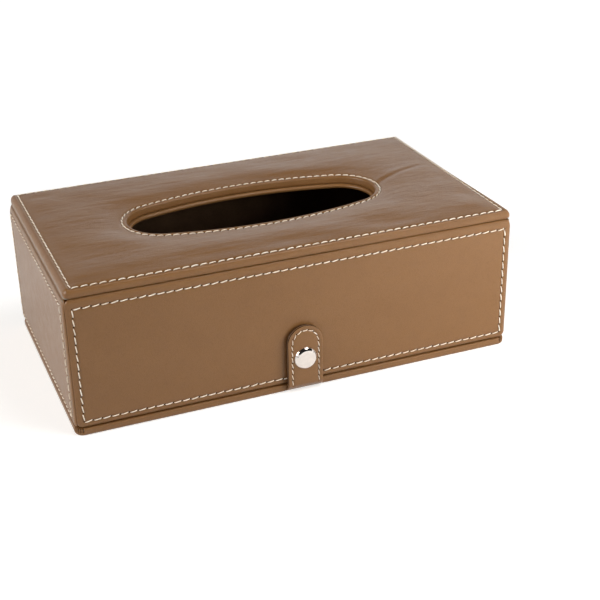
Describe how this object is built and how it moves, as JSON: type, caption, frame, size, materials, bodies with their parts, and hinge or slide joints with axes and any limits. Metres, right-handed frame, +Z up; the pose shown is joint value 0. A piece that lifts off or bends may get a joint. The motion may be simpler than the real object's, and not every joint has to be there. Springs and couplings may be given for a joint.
{
  "type": "tissue box",
  "caption": "Stitched leatherette tissue box with a padded top, an oval dispensing opening, a hinged bottom flap and a snap tab.",
  "frame": {"origin": "centre of the closed flap's underside, on which the box stands", "axes": "+X along the box, to the right seen from the front; -Y is the front with the snap tab; +Z is up, through the dispensing opening"},
  "size_m": [0.238, 0.1389, 0.0795],
  "materials": {
    "leatherette": "satin tan-brown leatherette with a fine grain",
    "leatherette_soft": "satin leatherette over foam, with fine wrinkles",
    "wall_board": "grey bookbinding board",
    "black_paper": "matt black lining",
    "foam": "soft open-cell foam",
    "nickel": "polished nickel"
  },
  "bodies": {
    "case": {"front_wall_cover": "leatherette", "back_wall_cover": "leatherette", "left_wall_cover": "leatherette", "right_wall_cover": "leatherette", "front_wall_board": "wall_board", "back_wall_board": "wall_board", "left_wall_board": "wall_board", "right_wall_board": "wall_board", "front_wall_lining": "black_paper", "back_wall_lining": "black_paper", "left_wall_lining": "black_paper", "right_wall_lining": "black_paper", "inner_top_cover": "leatherette", "hinge_strip": "leatherette", "top_cover": "leatherette_soft", "top_padding": "foam", "inner_top_board": "wall_board", "top_board": "wall_board", "inner_top_lining": "black_paper", "snap_stud": "nickel", "snap_rivet": "nickel"},
    "flap": {"flap_cover": "leatherette", "flap_board": "wall_board", "flap_lining": "black_paper", "tab_root": "leatherette"},
    "tab": {"tab_outer_leather": "leatherette", "tab_inner_leather": "leatherette", "snap_cap": "nickel", "snap_socket": "nickel"}
  },
  "joints": [
    {"name": "flap_hinge", "type": "hinge", "parent": "case", "child": "flap", "pos_m": [0, 0.067, 0.00425], "axis": [1, 0, 0], "range_deg": [0, 180], "deforming": ["hinge_strip"]},
    {"name": "tab_hinge", "type": "hinge", "parent": "flap", "child": "tab", "pos_m": [0, -0.06965, 0.00415], "axis": [1, 0, 0], "range_deg": [0, 120]}
  ]
}
